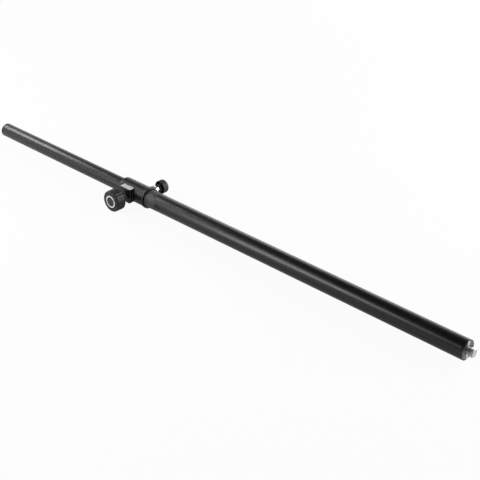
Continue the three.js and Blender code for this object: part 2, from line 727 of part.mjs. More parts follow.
function indexPin() {
  const profile = [
    [0, PIN_TIP],
    [PIN_RADIUS - PIN_TIP_CHAMFER, PIN_TIP],
    [PIN_RADIUS, PIN_TIP + PIN_TIP_CHAMFER],
    [PIN_RADIUS, SHOULDER_REACH],
    [SHOULDER_RADIUS, SHOULDER_REACH],
    [SHOULDER_RADIUS, SHOULDER_TOP],
    [STEM_RADIUS, SHOULDER_TOP],
    [STEM_RADIUS, STEM_END],
    [0, STEM_END],
  ];
  return piece("index_pin", turned(profile), steel);
}

// The path of the spring's wire round the stem of the pin
class SpringPath extends THREE.Curve {
  getPoint(share, target = new THREE.Vector3()) {
    const radius = (HOUSING_BORE + STEM_RADIUS) / 2;
    const foot = SHOULDER_TOP + SEAT_FIT + SPRING_WIRE / 2;
    const length = SPRING_LENGTH - 2 * SEAT_FIT - SPRING_WIRE;
    const angle = share * SPRING_TURNS * FULL_TURN;
    return target.set(radius * Math.cos(angle), radius * Math.sin(angle), foot + share * length);
  }
}

function pinSpring() {
  const section = new THREE.Shape();
  section.absarc(0, 0, SPRING_WIRE / 2, 0, FULL_TURN);
  const wire = new THREE.ExtrudeGeometry(section, {
    extrudePath: new SpringPath(),
    steps: SPRING_TURNS * TURN_STEPS,
    curveSegments: WIRE_SIDES / 2,
  });
  return piece("pin_spring", wire, steel);
}

// The small knob: a flared underside, a rim and a domed top
function pinKnob() {
  const radius = PIN_KNOB_DIAMETER / 2;
  const neck = PIN_KNOB_NECK_DIAMETER / 2;
  const flare = PIN_KNOB_REACH + PIN_KNOB_FLARE;
  const rim = flare + PIN_KNOB_EDGE + PIN_KNOB_RIM;
  const dome = PIN_KNOB_END - rim;
  const profile = [
    [0, STEM_END + SEAT_FIT],
    [STEM_BORE, STEM_END + SEAT_FIT],
    [STEM_BORE, PIN_KNOB_REACH],
    [neck, PIN_KNOB_REACH],
    [radius - PIN_KNOB_EDGE, flare],
    ...corner(PIN_KNOB_EDGE, radius - PIN_KNOB_EDGE, flare + PIN_KNOB_EDGE, -90, 0).slice(1),
    [radius, rim],
    ...corner(dome, radius - dome, rim, 0, 90).slice(1),
    [0, PIN_KNOB_END],
  ];
  return piece("pin_knob", turned(profile, PIN_KNOB_SIDES), blackPlastic);
}

// The extension tube, with its row of index holes and the hole for its cross pin
function extensionTube() {
  const firstHole = PIN_STATION - EXTENSION_STATION;
  const holes = Array.from({ length: HOLE_STEPS + 1 }, (_, i) => {
    const hole = rod(HOLE_DIAMETER / 2, 0, EXTENSION_RADIUS + OVERRUN);
    return hole.applyMatrix4(pinSide(firstHole + i * HOLE_PITCH));
  });
  const shape = tube(EXTENSION_BORE, EXTENSION_RADIUS, EXTENSION_LENGTH);
  return piece("extension_tube", cut(shape, ...holes, crossPinHole()), satinPaint);
}

function crossPinHole() {
  const hole = rod(CROSS_PIN_BORE, -BUSH_RADIUS, BUSH_RADIUS);
  return hole.applyMatrix4(rivetSide(0, CROSS_PIN_RISE));
}

function crossPin() {
  const reach = EXTENSION_RADIUS - TUBE_EDGE;
  const pin = rod(CROSS_PIN_RADIUS, -reach, reach);
  return piece("bush_cross_pin", pin.applyMatrix4(rivetSide(0, CROSS_PIN_RISE)), steel);
}

// The lower bush runs in the outer tube and stops against the guide bush
function extensionBush() {
  const spigot = EXTENSION_BORE - SEAT_FIT;
  const bore = spigot - FOOT_WALL;
  const profile = [
    [bore, -FOOT_FLANGE],
    [BUSH_RADIUS - FOOT_EDGE, -FOOT_FLANGE],
    [BUSH_RADIUS, FOOT_EDGE - FOOT_FLANGE],
    [BUSH_RADIUS, -SEAT_FIT],
    [spigot, -SEAT_FIT],
    [spigot, FOOT_SPIGOT - FOOT_EDGE],
    [spigot - FOOT_EDGE, FOOT_SPIGOT],
    [bore, FOOT_SPIGOT],
    [bore, -FOOT_FLANGE],
  ];
  return piece("extension_bush", cut(turned(profile, POLE_SIDES), crossPinHole()), greyPlastic);
}

// The cap closes the top of the extension tube with a rounded crown and a hollow spigot
function topCap() {
  const spigot = EXTENSION_BORE - SEAT_FIT;
  const crown = EXTENSION_RADIUS - CAP_ROUND;
  const profile = [
    [0, SEAT_FIT],
    [spigot - CAP_WALL, SEAT_FIT],
    [spigot - CAP_WALL, -CAP_SPIGOT],
    [spigot, -CAP_SPIGOT],
    [spigot, SEAT_FIT],
    ...corner(CAP_ROUND, crown, SEAT_FIT + CAP_CROWN - CAP_ROUND, 0, 90),
    [0, SEAT_FIT + CAP_CROWN],
  ];
  profile.splice(5, 0, [EXTENSION_RADIUS, SEAT_FIT]);
  return piece("top_cap", turned(profile, POLE_SIDES), blackPlastic, EXTENSION_LENGTH);
}

const outerAssembly = group(
  outerTube(),
  endPlug(),
  threadedStud(),
  plugRivets(),
  collar(),
  collarRivets(),
  guideBush(),
);
const clampAssembly = framed(
  clampSide(CLAMP_STATION),
  clampInsert(),
  clampShoe(),
  clampScrew(),
  clampKnob(),
  knobCover(),
);
const pinAssembly = framed(
  pinSide(PIN_STATION),
  pinHousing(),
  pinLockNut(),
  indexPin(),
  pinSpring(),
  pinKnob(),
);
const extensionAssembly = group(extensionTube(), extensionBush(), crossPin(), topCap());
extensionAssembly.position.z = EXTENSION_STATION;

const pole = group(outerAssembly, clampAssembly, pinAssembly, extensionAssembly);
pole.name = "speaker_pole";
pole.rotation.y = -QUARTER_TURN;
pole.position.x = -STUD_LENGTH;

export default pole;
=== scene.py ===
import math

import bmesh
import bpy
from mathutils import Matrix, Vector


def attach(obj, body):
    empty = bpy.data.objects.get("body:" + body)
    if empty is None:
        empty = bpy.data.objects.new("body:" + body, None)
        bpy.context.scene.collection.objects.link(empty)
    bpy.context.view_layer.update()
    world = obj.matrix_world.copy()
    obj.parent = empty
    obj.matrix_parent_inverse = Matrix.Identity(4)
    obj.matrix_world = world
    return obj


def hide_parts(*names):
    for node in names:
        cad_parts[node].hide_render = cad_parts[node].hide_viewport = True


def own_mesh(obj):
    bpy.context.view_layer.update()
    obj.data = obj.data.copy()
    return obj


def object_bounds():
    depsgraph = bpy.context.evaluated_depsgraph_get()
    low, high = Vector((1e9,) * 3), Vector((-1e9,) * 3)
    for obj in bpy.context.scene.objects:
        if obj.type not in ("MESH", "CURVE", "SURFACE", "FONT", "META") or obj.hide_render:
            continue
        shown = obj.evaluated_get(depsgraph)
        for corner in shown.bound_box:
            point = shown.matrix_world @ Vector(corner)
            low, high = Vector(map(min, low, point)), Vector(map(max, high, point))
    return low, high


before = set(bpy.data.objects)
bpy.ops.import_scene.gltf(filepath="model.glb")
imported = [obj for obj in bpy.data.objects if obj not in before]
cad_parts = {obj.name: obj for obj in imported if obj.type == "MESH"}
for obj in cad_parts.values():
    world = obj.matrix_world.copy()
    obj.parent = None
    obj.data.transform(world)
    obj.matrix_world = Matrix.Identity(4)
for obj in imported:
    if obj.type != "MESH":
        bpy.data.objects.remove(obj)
cad_low, cad_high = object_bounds()

# Lengths are in millimetres, as in the part's source, unless a comment says metres. A station is a
# height above the seat, a rise is a height above the foot of the collar, and a reach is a distance
# from the axis of the pole
MM = 0.001
SEAT_FIT = 0.25

# Tubes
EXTENDED_LENGTH = 1450
EXTENSION_STATION = 849.5
EXTENSION_TOP = 1444.75
EXTENSION_RADIUS = 17.5
EXTENSION_BORE = 16
OUTER_TOP = 961.5
OUTER_RADIUS = 21.5
OUTER_BORE = 20

# Stud, and how far the plug stands proud of the tube
STUD_LENGTH = 14.4
STUD_RADIUS = 10
PLUG_PROUD = 0.5

# Collar, with the clamp's boss on one side and the index pin's on the other
COLLAR_STATION = 880
COLLAR_LENGTH = 90
COLLAR_RADIUS = 24.15
COLLAR_BORE = 21.75
LIP_RADIUS = 25.95
CLAMP_RISE = 55
CLAMP_STATION = COLLAR_STATION + CLAMP_RISE
BOSS_TOP = 19.4
BOSS_BOTTOM = 18.3
BOSS_HALF_LENGTH = 18.25
BOSS_REACH = 31
PIN_RISE = 24
PIN_STATION = COLLAR_STATION + PIN_RISE

# Clamp insert and knob
SCREW_BORE = 5.25
INSERT_END = 37.25
KNOB_HUB_REACH = 38.75
KNOB_BACK = 46
KNOB_HEAD_BACK = 52
KNOB_FRONT = 77
KNOB_RIBS = 6
COVER_RADIUS = 17

# Index pin, its holes in the extension tube, and its knob
PIN_BORE = 4.25
STEM_BORE = 3.25
HOUSING_RADIUS = 7.05
HOUSING_THREAD_RADIUS = 8.05
LOCK_NUT_REACH = 28.7
LOCK_NUT_END = 32.7
HOUSING_CAP_REACH = 43.5
HOUSING_END = 45.5
PIN_KNOB_REACH = 49.3
PIN_KNOB_END = 69.8
HOLE_PITCH = 60
HOLE_COUNT = 8

# Rivets, each ring with its angles in degrees, and punched marks, each with its distance below the
# collar and its angle in degrees
RIVET_RADIUS = 2
RIVET_BORE = 2.25
PLUG_RIVETS = (-53, 67, 187)
PLUG_RIVET_STATION = 6
COLLAR_RIVETS = (145, 215)
COLLAR_RIVET_RISE = 11
PUNCH_MARKS = ((45, -78), (52, -88))

# Facets round the tubes, round turned pieces of middle and small size, and round rivets and holes
POLE_SIDES = 128
PIECE_SIDES = 96
SMALL_SIDES = 72
HOLE_SIDES = 48
RIVET_SIDES = 40

QUARTER_TURN = math.pi / 2
FULL_TURN = 2 * math.pi
UPRIGHT = Matrix.Identity(4)

# The pole is described upright, its axis on +Z and its seat at zero, and laid down by this frame
POLE = (
    Matrix.Translation((-STUD_LENGTH * MM, 0, 0))
    @ Matrix.Rotation(-QUARTER_TURN, 4, "Y")
    @ Matrix.Scale(MM, 4)
)


# Frames that point +Z at the clamp's side, at the index pin's side, or outwards at an angle
def clamp_side(height, base=UPRIGHT):
    return base @ Matrix.Translation((0, 0, height)) @ Matrix.Rotation(QUARTER_TURN, 4, "X")


def pin_side(height, base=UPRIGHT):
    return base @ Matrix.Translation((0, 0, height)) @ Matrix.Rotation(-QUARTER_TURN, 4, "X")


def outwards(degrees, height, base=UPRIGHT):
    turn = Matrix.Rotation(math.radians(degrees), 4, "Z") @ Matrix.Rotation(QUARTER_TURN, 4, "Y")
    return base @ Matrix.Translation((0, 0, height)) @ turn


CLAMP = clamp_side(CLAMP_STATION, POLE)
PIN = pin_side(PIN_STATION, POLE)

# Camera at the photograph's viewing point, in metres
SENSOR_WIDTH = 36
LENS = 78.75
CLIP_START, CLIP_END = 0.05, 60
CAMERA_PLACE = (0.76368, -1.46024, 1.1777)
CAMERA_FORWARD = (-0.58908, 0.62965, -0.50648)
CAMERA_RIGHT = (0.72912, 0.68438, 0.00278)


def make_camera():
    data = bpy.data.cameras.new("photo_camera")
    data.sensor_width = SENSOR_WIDTH
    data.lens = LENS
    data.clip_start = CLIP_START
    data.clip_end = CLIP_END
    camera = bpy.data.objects.new("photo_camera", data)
    forward = Vector(CAMERA_FORWARD).normalized()
    right = Vector(CAMERA_RIGHT)
    right = (right - right.dot(forward) * forward).normalized()
    up = right.cross(forward)
    turn = Matrix((right, up, -forward)).transposed().to_4x4()
    camera.matrix_world = Matrix.Translation(CAMERA_PLACE) @ turn
    bpy.context.scene.collection.objects.link(camera)
    bpy.context.scene.camera = camera


# Places of a colour Mix node's sockets, which share their names with others
MIX_FACTOR, MIX_FIRST, MIX_SECOND, MIX_RESULT = 0, 6, 7, 2

# Depths of the bumps, in metres
COARSE_BUMP = 0.0001
POLISH_BUMP = 0.00005
RING_BUMP = 0.00004

# Turns the spread of an anisotropic gloss from along a turned ring to across it
ACROSS_RINGS = 0.25


def new_material(name):
    material = bpy.data.materials.new(name)
    material.use_nodes = True
    return material, material.node_tree, material.node_tree.nodes["Principled BSDF"]


# Adds a node and sets its constant inputs
def added(tree, kind, inputs=None):
    node = tree.nodes.new(kind)
    for name, value in (inputs or {}).items():
        node.inputs[name].default_value = value
    return node


# Noise in the piece's own frame
def noise(tree, scale, detail, stretch=(1, 1, 1)):
    place = added(tree, "ShaderNodeTexCoord")
    mapping = added(tree, "ShaderNodeMapping", {"Scale": stretch})
    texture = added(tree, "ShaderNodeTexNoise", {"Scale": scale, "Detail": detail})
    tree.links.new(place.outputs["Object"], mapping.inputs["Vector"])
    tree.links.new(mapping.outputs["Vector"], texture.inputs["Vector"])
    return texture.outputs["Fac"]


# Spreads the middle of a value's range over another range, and clamps what lies beyond
def spread(tree, value, low, high, from_low=0.3, from_high=0.7):
    scale = added(tree, "ShaderNodeMapRange", {
        "From Min": from_low, "From Max": from_high, "To Min": low, "To Max": high,
    })
    tree.links.new(value, scale.inputs["Value"])
    return scale.outputs["Result"]


# Colours a shader between two colours
def coloured(tree, shader, share, first, second):
    mix = added(tree, "ShaderNodeMix")
    mix.data_type = "RGBA"
    mix.inputs[MIX_FIRST].default_value = (*first, 1)
    mix.inputs[MIX_SECOND].default_value = (*second, 1)
    tree.links.new(share, mix.inputs[MIX_FACTOR])
    tree.links.new(mix.outputs[MIX_RESULT], shader.inputs["Base Color"])


# Lets a shader's roughness wander round a value
def roughened(tree, shader, roughness, smoother, rougher, scale, detail):
    cloud = noise(tree, scale, detail)
    gloss = spread(tree, cloud, roughness - smoother, roughness + rougher)
    tree.links.new(gloss, shader.inputs["Roughness"])


def bumped(tree, shader, height, strength, distance):
    bump = added(tree, "ShaderNodeBump", {"Strength": strength, "Distance": distance})
    tree.links.new(height, bump.inputs["Height"])
    tree.links.new(bump.outputs["Normal"], shader.inputs["Normal"])


# Powder coat: a fine orange peel, a slightly uneven gloss, and faint handling marks along the tube
def powder_coat(name, colour, lighter, roughness, peel=420.0, depth=0.03, scuff=0.4):
    material, tree, shader = new_material(name)
    marks = noise(tree, scale=9.0, detail=6.0, stretch=(2.0, 14.0, 14.0))
    scuffs = spread(tree, marks, 0.0, scuff, from_low=0.52, from_high=0.75)
    coloured(tree, shader, scuffs, colour, lighter)
    roughened(tree, shader, roughness, smoother=0.025, rougher=0.03, scale=26.0, detail=4.0)
    shader.inputs["Specular IOR Level"].default_value = 0.5
    bumped(tree, shader, noise(tree, peel, detail=2.0), depth, COARSE_BUMP)
    return material


# Moulded plastic: a fine spark-eroded grain and a little shine where hands wear it
def moulded(name, colour, lighter, roughness, grain=1500.0, depth=0.25):
    material, tree, shader = new_material(name)
    cloud = noise(tree, scale=45.0, detail=5.0)
    coloured(tree, shader, spread(tree, cloud, 0.0, 1.0), colour, lighter)
    roughened(tree, shader, roughness, smoother=0.08, rougher=0.06, scale=18.0, detail=3.0)
    shader.inputs["Specular IOR Level"].default_value = 0.45
    bumped(tree, shader, noise(tree, grain, detail=2.0), depth, COARSE_BUMP)
    return material


# Turned or drawn metal: rings left by the tool, with a slight tarnish
def turned_metal(name, colour, darker, roughness, rings=800.0, depth=0.06, anisotropy=0.0):
    material, tree, shader = new_material(name)
    cloud = noise(tree, scale=60.0, detail=5.0)
    coloured(tree, shader, spread(tree, cloud, 0.0, 0.6), colour, darker)
    shader.inputs["Metallic"].default_value = 1.0
    roughened(tree, shader, roughness, smoother=0.05, rougher=0.07, scale=110.0, detail=4.0)
    if anisotropy:
        shader.inputs["Anisotropic"].default_value = anisotropy
        shader.inputs["Anisotropic Rotation"].default_value = ACROSS_RINGS
        tangent = added(tree, "ShaderNodeTangent")
        tangent.direction_type = "RADIAL"
        tangent.axis = "X"
        tree.links.new(tangent.outputs["Tangent"], shader.inputs["Tangent"])
    place = added(tree, "ShaderNodeTexCoord")
    wave = added(tree, "ShaderNodeTexWave", {"Scale": rings, "Distortion": 0.6, "Detail": 1.0})
    wave.wave_type = "RINGS"
    wave.rings_direction = "X"
    tree.links.new(place.outputs["Object"], wave.inputs["Vector"])
    bumped(tree, shader, wave.outputs["Fac"], depth, RING_BUMP)
    return material


# Bright plating: almost a mirror, with fine polishing lines and a few dull spots
def plated(name, colour, darker, roughness):
    material, tree, shader = new_material(name)
    shader.inputs["Metallic"].default_value = 1.0
    cloud = noise(tree, scale=140.0, detail=5.0)
    coloured(tree, shader, spread(tree, cloud, 0.0, 0.5), colour, darker)
    roughened(tree, shader, roughness, smoother=0.03, rougher=0.05, scale=90.0, detail=4.0)
    lines = noise(tree, scale=900.0, detail=2.0, stretch=(1, 4, 1))
    bumped(tree, shader, lines, 0.05, POLISH_BUMP)
    return material


def grey(value):
    return (value, value, value)


outer_coat = powder_coat("outer_coat", (0.004, 0.004, 0.0045), (0.010, 0.010, 0.011), 0.36)
extension_coat = powder_coat("extension_coat", (0.008, 0.008, 0.009), (0.016, 0.016, 0.017), 0.36)
casting_coat = powder_coat("casting_coat", grey(0.005), grey(0.011), 0.38, peel=300.0, depth=0.06)
rivet_coat = powder_coat("rivet_coat", grey(0.004), grey(0.008), 0.6, peel=900.0, depth=0.05)
band_film = powder_coat(
    "band_film", grey(0.048), grey(0.060), 0.52, peel=900.0, depth=0.02, scuff=0.2
)
label_film = powder_coat(
    "label_film", (0.62, 0.62, 0.61), (0.70, 0.70, 0.69), 0.42, peel=900.0, depth=0.02, scuff=0.6
)
knob_plastic = moulded("knob_plastic", grey(0.013), grey(0.020), 0.56)
cap_plastic = moulded("cap_plastic", grey(0.012), grey(0.018), 0.45)
bush_plastic = moulded("bush_plastic", (0.05, 0.05, 0.052), (0.07, 0.07, 0.072), 0.5)
cover_plastic = moulded("cover_plastic", grey(0.014), grey(0.02), 0.35, grain=2200.0, depth=0.1)
ring_foil = turned_metal("ring_foil", grey(0.90), grey(0.74), 0.38, rings=900.0, depth=0.04)
zinc_plate = turned_metal(
    "zinc_plate", (0.22, 0.22, 0.218), (0.15, 0.15, 0.148), 0.42, rings=500.0, depth=0.2,
    anisotropy=0.97,
)
bright_steel = turned_metal("bright_steel", (0.78, 0.78, 0.79), grey(0.6), 0.28)
stud_steel = turned_metal("stud_steel", (0.62, 0.62, 0.625), grey(0.50), 0.60)
dark_steel = turned_metal("dark_steel", grey(0.10), grey(0.06), 0.4)
plate_chrome = plated("plate_chrome", grey(0.95), grey(0.779), 0.30)

# Angles in degrees from which an edge is shaded sharp
SHARP_CUT = 25
SHARP_TUBE = 30
SHARP_TURNED = 32
SHARP_FLUTED = 38
SHARP_THREAD = 40
SHARP_SOFT = 60

# A radius below this lies on the axis, and a fillet takes at most this share of an edge
ON_AXIS = 1e-9
FILLET_SHARE = 0.49


# Makes an object of a mesh under construction
def made(name, bm, frame_matrix):
    bmesh.ops.recalc_face_normals(bm, faces=bm.faces)
    mesh = bpy.data.meshes.new(name)
    bm.to_mesh(mesh)
    bm.free()
    mesh.transform(frame_matrix)
    piece = bpy.data.objects.new(name, mesh)
    bpy.context.scene.collection.objects.link(piece)
    return piece


# An object that is still to be carved, or that carves
def scratch(bm, frame_matrix=UPRIGHT):
    return made("scratch", bm, frame_matrix)


# Names, shades and dresses a piece, ties it to its body, and hides the node that it stands for
def adopt(piece, name, material, body, node=None, sharp=SHARP_TURNED):
    piece.name = name
    shade(piece.data, sharp)
    piece.data.materials.clear()
    piece.data.materials.append(material)
    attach(piece, body)
    if node:
        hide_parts(node)
    return piece


def shade(mesh, degrees):
    mesh.polygons.foreach_set("use_smooth", [True] * len(mesh.polygons))
    mesh.set_sharp_from_angle(angle=math.radians(degrees))
    mesh.update()


def finished(name, bm, frame_matrix, material, body, node=None, sharp=SHARP_TURNED):
    return adopt(made(name, bm, frame_matrix), name, material, body, node, sharp)


# A profile of (radius, height) or (radius, height, fillet) points, with its fillets worked out. The
# ends of an open profile stay as they are
def filleted(points, closed, steps=5):
    out = []
    count = len(points)
    for i, point in enumerate(points):
        fillet = point[2] if len(point) > 2 else 0
        here = Vector(point[:2])
        if not fillet or (not closed and i in (0, count - 1)):
            out.append(here)
            continue
        before = Vector(points[i - 1][:2]) - here
        after = Vector(points[(i + 1) % count][:2]) - here
        half = before.angle(after) / 2
        longest = min(FILLET_SHARE * before.length, FILLET_SHARE * after.length)
        back = min(fillet / math.tan(half), longest)
        radius = back * math.tan(half)
        start = here + before.normalized() * back
        end = here + after.normalized() * back
        bisector = (before.normalized() + after.normalized()).normalized()
        centre = here + bisector * (radius / math.sin(half))
        a, b = start - centre, end - centre
        turn = a.angle_signed(b)
        for k in range(steps + 1):
            angle = -turn * k / steps
            c, s = math.cos(angle), math.sin(angle)
            out.append(centre + Vector((a.x * c - a.y * s, a.x * s + a.y * c)))
    return out


# A ring of vertices round the axis
def ring_at(bm, radius, height, sides):
    angles = (FULL_TURN * i / sides for i in range(sides))
    return [bm.verts.new((radius * math.cos(a), radius * math.sin(a), height)) for a in angles]


# Joins rings of vertices that are all as long, and closes both ends
def skinned(bm, rings):
    for lower, upper in zip(rings, rings[1:]):
        for i in range(len(lower)):
            j = (i + 1) % len(lower)
            bm.faces.new([lower[i], lower[j], upper[j], upper[i]])
    bm.faces.new(rings[0][::-1])
    bm.faces.new(rings[-1])
    return bm


# Turns a profile about +Z. It starts and ends on the axis, or closes on itself
def lathe(points, sides=PIECE_SIDES, steps=5):
    closed = points[0][0] > 0
    bm = bmesh.new()
    rings = []
    for point in filleted(points, closed, steps):
        if point.x < ON_AXIS:
            rings.append([bm.verts.new((0, 0, point.y))])
        else:
            rings.append(ring_at(bm, point.x, point.y, sides))
    pairs = list(zip(rings, rings[1:]))
    if closed:
        pairs.append((rings[-1], rings[0]))
    for low, high in pairs:
        for i in range(sides):
            j = (i + 1) % sides
            corners = [
                low[i % len(low)], low[j % len(low)], high[j % len(high)], high[i % len(high)],
            ]
            unique = list(dict.fromkeys(corners))
            if len(unique) > 2:
                bm.faces.new(unique)
    return bm


def turned_piece(
    name, points, frame_matrix, material, body, node=None, sides=PIECE_SIDES, steps=5
):
    bm = lathe(points, sides, steps)
    return finished(name, bm, frame_matrix, material, body, node)


# A rod along +Z, and a block round +Z, from one height to another
def rod(radius, low, high, sides=HOLE_SIDES):
    return lathe([(0, low), (radius, low), (radius, high), (0, high)], sides)


def block(width, depth, low, high):
    bm = bmesh.new()
    bmesh.ops.create_cube(bm, size=1)
    size = Matrix.Diagonal((width, depth, high - low, 1))
    bmesh.ops.transform(bm, verts=bm.verts, matrix=size)
    bmesh.ops.translate(bm, verts=bm.verts, vec=(0, 0, (low + high) / 2))
    return bm


# Applies boolean steps to an object and deletes the tools
def carve(target, tools, operation="DIFFERENCE"):
    for tool in tools:
        step = target.modifiers.new("carve", "BOOLEAN")
        step.operation = operation
        step.solver = "MANIFOLD"
        step.object = tool
    settle(target)
    for tool in tools:
        bpy.data.objects.remove(tool)


# Turns an object's modifiers into its mesh
def settle(target):
    bpy.context.view_layer.update()
    graph = bpy.context.evaluated_depsgraph_get()
    mesh = bpy.data.meshes.new_from_object(target.evaluated_get(graph))
    target.modifiers.clear()
    target.data = mesh


# Cutters for a ring of rivets
def rivet_holes(angles, height):
    to, sides = 30, 32
    return [scratch(rod(RIVET_BORE, 0, to, sides), outwards(a, height)) for a in angles]


# Cutters for two small punched pits in the outer tube, under the band
def punch_pits():
    floor, bevel, clear = OUTER_RADIUS - 1.25, OUTER_RADIUS - 0.3, OUTER_RADIUS + 0.6
    floor_radius, floor_round, radius, mouth = 2.0, 0.5, 2.4, 3.1
    points = [
        (0, floor), (floor_radius, floor, floor_round), (radius, bevel), (mouth, clear), (0, clear),
    ]
    return [
        scratch(lathe(points, RIVET_SIDES), outwards(degrees, COLLAR_STATION - below))
        for below, degrees in PUNCH_MARKS
    ]


# Outer tube with rolled edges, open for the shoe, the pin and the rivets
def outer_tube():
    bore_edge, foot_edge, top_edge = 0.5, 0.6, 0.4
    window_width, window_length, reach = 16.5, 22.5, 25
    tube = scratch(lathe([
        (OUTER_BORE, PLUG_PROUD, bore_edge), (OUTER_RADIUS, PLUG_PROUD, foot_edge),
        (OUTER_RADIUS, OUTER_TOP, top_edge), (OUTER_BORE, OUTER_TOP, top_edge),
    ], POLE_SIDES))
    carve(tube, [
        scratch(block(window_width, window_length, 0, reach), clamp_side(CLAMP_STATION)),
        scratch(rod(PIN_BORE, 0, reach), pin_side(PIN_STATION)),
        *rivet_holes(PLUG_RIVETS, PLUG_RIVET_STATION),
        *rivet_holes(COLLAR_RIVETS, COLLAR_STATION + COLLAR_RIVET_RISE),
        *punch_pits(),
    ])
    tube.data.transform(POLE)
    adopt(tube, "outer_tube_skin", outer_coat, "outer", "outer_tube", SHARP_TUBE)


# A plain film band round the outer tube, under the collar
def outer_band():
    low, high = COLLAR_STATION - 34, COLLAR_STATION - 0.4
    inside, outside, edge = OUTER_RADIUS + 0.02, OUTER_RADIUS + 0.14, 0.1
    film = [(inside, low), (outside, low, edge), (outside, high, edge), (inside, high)]
    turned_piece("outer_tube_band", film, POLE, band_film, "outer", None, POLE_SIDES)


# The plug is a cup with a thick floor, recessed round the root of the stud
def end_plug():
    radius, wall, recess, root = 19.75, 3.5, 11.25, 8.05
    recess_depth, root_depth, floor, top = 0.8, 11.25, 14, 30
    edge, recess_edge, rim_edge, top_edge = 0.3, 0.25, 0.7, 0.6
    points = [
        (0, root_depth), (root, root_depth), (root, recess_depth, edge),
        (recess, recess_depth, edge), (recess, 0, recess_edge), (radius, 0, rim_edge),
        (radius, top, top_edge), (radius - wall, top, top_edge), (radius - wall, floor), (0, floor),
    ]
    turned_piece("end_plug_face", points, POLE, zinc_plate, "outer", "end_plug", POLE_SIDES)


# The stud's thread is a real helix, cut off at the relief neck and by the chamfer at the tip
def threaded_stud():
    pitch, depth, chamfer, neck, root_depth = 2.5, 1.53, 1.6, 7.8, 11
    low, high = -STUD_LENGTH, -5.9
    crest_share, flank_share = 0.06, 0.38
    around, along = 96, 64

    def thread_reach(angle, z):
        share = ((z - low) / pitch - angle / FULL_TURN) % 1
        ramp = min(1, max(0, (abs(share - 0.5) - crest_share) / flank_share))
        ends = min(z - low, high - z)
        return min(STUD_RADIUS - depth * ramp, STUD_RADIUS - chamfer + ends, STUD_RADIUS)

    bm = bmesh.new()
    rings = []
    for k in range(along + 1):
        z = low + (high - low) * k / along
        ring = []
        for i in range(around):
            angle = FULL_TURN * i / around
            r = thread_reach(angle, z)
            ring.append(bm.verts.new((r * math.cos(angle), r * math.sin(angle), z)))
        rings.append(ring)
    rings += [ring_at(bm, neck, z, around) for z in (high, root_depth)]
    finished(
        "stud_thread", skinned(bm, rings), POLE, stud_steel, "outer", "threaded_stud", SHARP_THREAD
    )


# A rivet with a low domed head, seated on a tube or on the casting
def rivet(name, node, surface, start, place):
    seat = surface + SEAT_FIT
    rim, shoulder, crown = 3.25, 2.9, 1.2
    dip, shoulder_height, height = 0.1, 0.55, 0.9
    tip_round, rim_round, shoulder_round, crown_round = 0.3, 0.15, 0.4, 1.5
    points = [
        (0, start), (RIVET_RADIUS, start, tip_round), (RIVET_RADIUS, seat),
        (rim, seat - dip, rim_round), (shoulder, seat + shoulder_height, shoulder_round),
        (crown, seat + height, crown_round), (0, seat + height),
    ]
    turned_piece(name, points, place, rivet_coat, "outer", node, RIVET_SIDES, 4)


def rivets():
    plug_start, collar_start = 16.25, 20.25
    for i, degrees in enumerate(PLUG_RIVETS, 1):
        place = outwards(degrees, PLUG_RIVET_STATION, POLE)
        rivet(f"plug_rivet_head_{i}", f"plug_rivet_{i}", OUTER_RADIUS, plug_start, place)
    for i, degrees in enumerate(COLLAR_RIVETS, 1):
        place = outwards(degrees, COLLAR_STATION + COLLAR_RIVET_RISE, POLE)
        rivet(f"collar_rivet_head_{i}", f"collar_rivet_{i}", COLLAR_RADIUS, collar_start, place)


# The clamp's boss is flat on top and round below, with broken edges at its end
def boss_shape():
    top_corner, bottom_corner, steps = 1.2, 8, 16
    half_across = 18.0
    outline = filleted([
        (BOSS_TOP, -BOSS_HALF_LENGTH, top_corner), (BOSS_TOP, BOSS_HALF_LENGTH, top_corner),
        (-BOSS_BOTTOM, BOSS_HALF_LENGTH, bottom_corner),
        (-BOSS_BOTTOM, -BOSS_HALF_LENGTH, bottom_corner),
    ], True, steps)
    centre = sum(outline, Vector((0, 0))) / len(outline)
    bm = bmesh.new()
    rings = []
    for z, inset in ((0, 0), (BOSS_REACH - 1, 0), (BOSS_REACH - 0.4, 0.25), (BOSS_REACH, 0.9)):
        share = 1 - inset / half_across
        rings.append([bm.verts.new((*(centre + (p - centre) * share), z)) for p in outline])
    return skinned(bm, rings)


